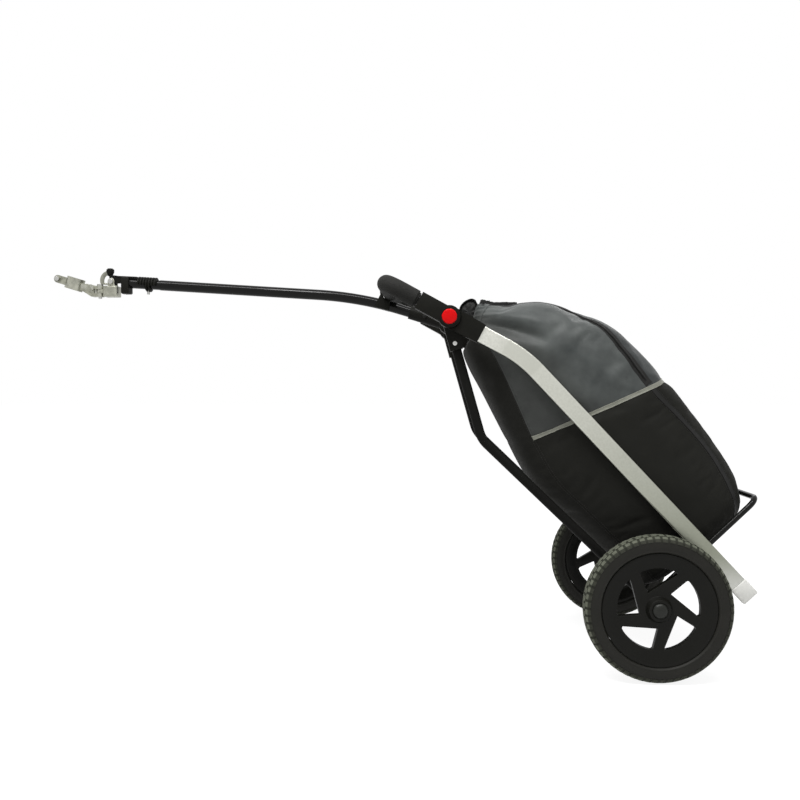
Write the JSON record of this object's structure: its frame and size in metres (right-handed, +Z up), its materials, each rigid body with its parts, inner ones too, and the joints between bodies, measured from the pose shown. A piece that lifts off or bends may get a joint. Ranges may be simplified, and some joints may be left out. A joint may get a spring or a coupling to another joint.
{
  "type": "bicycle shopping trailer",
  "caption": "Two-wheeled shopping trailer with a bent drawbar and seatpost hitch, a bow handle, swept-spoke wheels and a tall cloth bag.",
  "frame": {"origin": "centre of the seatpost clamp's bore, on the seatpost's own axis", "axes": "+X backwards along the bicycle from the seatpost to the trailer's wheels, +Y to the bicycle's right, +Z up; the trailer is level as towed"},
  "size_m": [1.5417, 0.546, 0.8535],
  "materials": {
    "aluminium": "satin",
    "zinc": "satin",
    "steel": "satin",
    "black_paint": "gloss",
    "black_plastic": "satin",
    "red_plastic": "satin",
    "grip_rubber": "matte",
    "tyre": "matte",
    "grey_cap": "satin",
    "black_fabric": "matte",
    "grey_fabric": "matte"
  },
  "bodies": {
    "clamp": {"clamp_casting": "zinc", "post_liner": "grip_rubber", "clamp_bolt": "steel", "clamp_nut": "steel", "yaw_pin": "steel"},
    "swivel": {"swivel_block": "zinc", "pitch_bolt": "steel", "pitch_nut": "steel", "hook_rivet": "steel", "safety_hook": "zinc"},
    "coupler": {"coupler": "black_plastic"},
    "knob": {"pull_knob": "black_plastic"},
    "drawbar": {"drawbar_tube": "black_paint", "ribbed_collar": "black_plastic", "collar_screw": "steel", "drawbar_sleeve": "black_plastic", "sleeve_bolt": "steel", "tie_hook": "black_plastic", "handle_bow": "black_paint", "grip": "grip_rubber", "handle_arm_left": "black_plastic", "handle_arm_right": "black_plastic", "pivot_tube": "black_paint", "button_spring_left": "steel", "button_spring_right": "steel"},
    "button_left": {"release_button_left": "red_plastic"},
    "button_right": {"release_button_right": "red_plastic"},
    "frame": {"bar_holder_left": "black_plastic", "bar_holder_right": "black_plastic", "side_bar_left": "aluminium", "side_bar_right": "aluminium", "foot_cap_left": "grey_cap", "foot_cap_right": "grey_cap", "lower_tube_left": "black_paint", "lower_tube_right": "black_paint", "tube_screw_left": "steel", "tube_screw_right": "steel", "axle_tube": "black_paint", "axle_rod": "steel", "base_loop": "black_paint", "loop_saddle_left": "black_plastic", "loop_saddle_right": "black_plastic", "hang_rod": "black_paint", "bag_upper": "grey_fabric", "bag_lower": "black_fabric", "bag_strap": "black_fabric", "bag_hang_loop": "black_fabric"},
    "wheel_left": {"tyre_left": "tyre", "rim_left": "black_plastic", "wheel_bearing_left": "steel"},
    "wheel_right": {"tyre_right": "tyre", "rim_right": "black_plastic", "wheel_bearing_right": "steel"},
    "cap_left": {"wheel_release_left": "black_plastic"},
    "cap_right": {"wheel_release_right": "black_plastic"}
  },
  "joints": [
    {"name": "hitch_yaw", "type": "hinge", "parent": "clamp", "child": "swivel", "pos_m": [0.06, 0, -0.018], "axis": [0, 0, 1], "range_deg": [-75, 75]},
    {"name": "hitch_pitch", "type": "hinge", "parent": "swivel", "child": "coupler", "pos_m": [0.0897, 0, 0.004], "axis": [0, -1, 0], "range_deg": [-15, 40]},
    {"name": "knob_pull", "type": "slide", "parent": "coupler", "child": "knob", "axis": [0, 0, 1], "range_m": [0, 0.005], "stiffness_N_per_m": 400, "springref_m": -0.002},
    {"name": "hitch_roll", "type": "hinge", "parent": "coupler", "child": "drawbar", "pos_m": [0.1185, 0, 0.001], "axis": [0.9978, 0, -0.0658], "range_deg": [-30, 30]},
    {"name": "button_left_press", "type": "slide", "parent": "drawbar", "child": "button_left", "axis": [0, 1, 0], "range_m": [0, 0.004], "stiffness_N_per_m": 800, "springref_m": -0.003, "deforming": ["button_spring_left"]},
    {"name": "button_right_press", "type": "slide", "parent": "drawbar", "child": "button_right", "axis": [0, -1, 0], "range_m": [0, 0.004], "stiffness_N_per_m": 800, "springref_m": -0.003, "deforming": ["button_spring_right"]},
    {"name": "handle_angle", "type": "hinge", "parent": "drawbar", "child": "frame", "pos_m": [0.8675, 0, -0.0974], "axis": [0, -1, 0], "range_deg": [-35, 55]},
    {"name": "wheel_left_spin", "type": "hinge", "parent": "frame", "child": "wheel_left", "pos_m": [1.2745, -0.2425, -0.6735], "axis": [0, 1, 0], "continuous": true},
    {"name": "wheel_right_spin", "type": "hinge", "parent": "frame", "child": "wheel_right", "pos_m": [1.2745, 0.2425, -0.6735], "axis": [0, 1, 0], "continuous": true},
    {"name": "cap_left_press", "type": "slide", "parent": "wheel_left", "child": "cap_left", "axis": [0, 1, 0], "range_m": [0, 0.003], "stiffness_N_per_m": 800, "springref_m": -0.002},
    {"name": "cap_right_press", "type": "slide", "parent": "wheel_right", "child": "cap_right", "axis": [0, -1, 0], "range_m": [0, 0.003], "stiffness_N_per_m": 800, "springref_m": -0.002}
  ]
}
